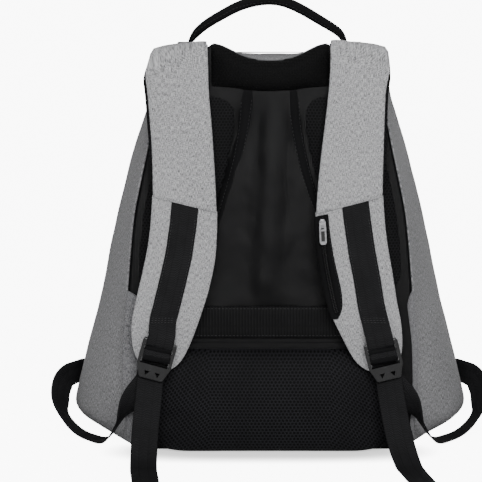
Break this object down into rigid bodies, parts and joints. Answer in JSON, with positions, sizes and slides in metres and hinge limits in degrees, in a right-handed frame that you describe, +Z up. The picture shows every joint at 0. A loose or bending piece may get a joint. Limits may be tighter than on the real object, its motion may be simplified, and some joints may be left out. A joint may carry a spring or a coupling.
{
  "type": "anti theft backpack",
  "caption": "Grey cloth backpack that flares to a wide base, with a black padded back, padded shoulder straps, a luggage band, a top handle and a strap pocket with a zip.",
  "frame": {"origin": "on the floor, in the middle of the flat base and on the symmetry plane of the body", "axes": "+Z up, +Y from the wearer's back towards the front of the bag, +X to the right as seen in the picture"},
  "size_m": [0.4618, 0.3081, 0.4551],
  "materials": {
    "grey_cloth": "heather weave",
    "black_nylon": "smooth nylon",
    "black_mesh": "air mesh",
    "black_elastic": "ribbed elastic",
    "black_cloth": "plain woven cloth",
    "black_webbing": "ribbed webbing",
    "black_plastic": "satin moulded",
    "pale_trim": "piping",
    "zinc": "polished cast zinc"
  },
  "bodies": {
    "bag": {"body_shell": "grey_cloth", "back_panel": "black_nylon", "collar_pad": "black_mesh", "side_mesh_pad_left": "black_mesh", "pad_binding_left": "black_cloth", "side_mesh_pad_right": "black_mesh", "pad_binding_right": "black_cloth", "luggage_band": "black_elastic", "seam_binding": "black_cloth", "lumbar_pad": "black_mesh", "top_piping": "pale_trim", "handle": "black_cloth", "handle_tab_left": "black_webbing", "handle_tab_right": "black_webbing", "strap_core_left": "black_mesh", "strap_upper_cover_left": "grey_cloth", "strap_lower_cover_left": "grey_cloth", "ladder_lock_left": "black_plastic", "sewn_webbing_left": "black_webbing", "adjuster_webbing_left": "black_webbing", "strap_core_right": "black_mesh", "strap_upper_cover_right": "grey_cloth", "strap_lower_cover_right": "grey_cloth", "ladder_lock_right": "black_plastic", "sewn_webbing_right": "black_webbing", "adjuster_webbing_right": "black_webbing", "zip_panel_right": "black_cloth", "zip_coil_right": "black_cloth", "zip_slider_right": "zinc"},
    "zip_puller": {"zip_puller_right": "zinc"}
  },
  "joints": [
    {"name": "zip_puller_swing", "type": "hinge", "parent": "bag", "child": "zip_puller", "pos_m": [0.05094, -0.10794, 0.23518], "axis": [0.9988, -0.0115, 0.0472], "range_deg": [-110, 0]}
  ]
}
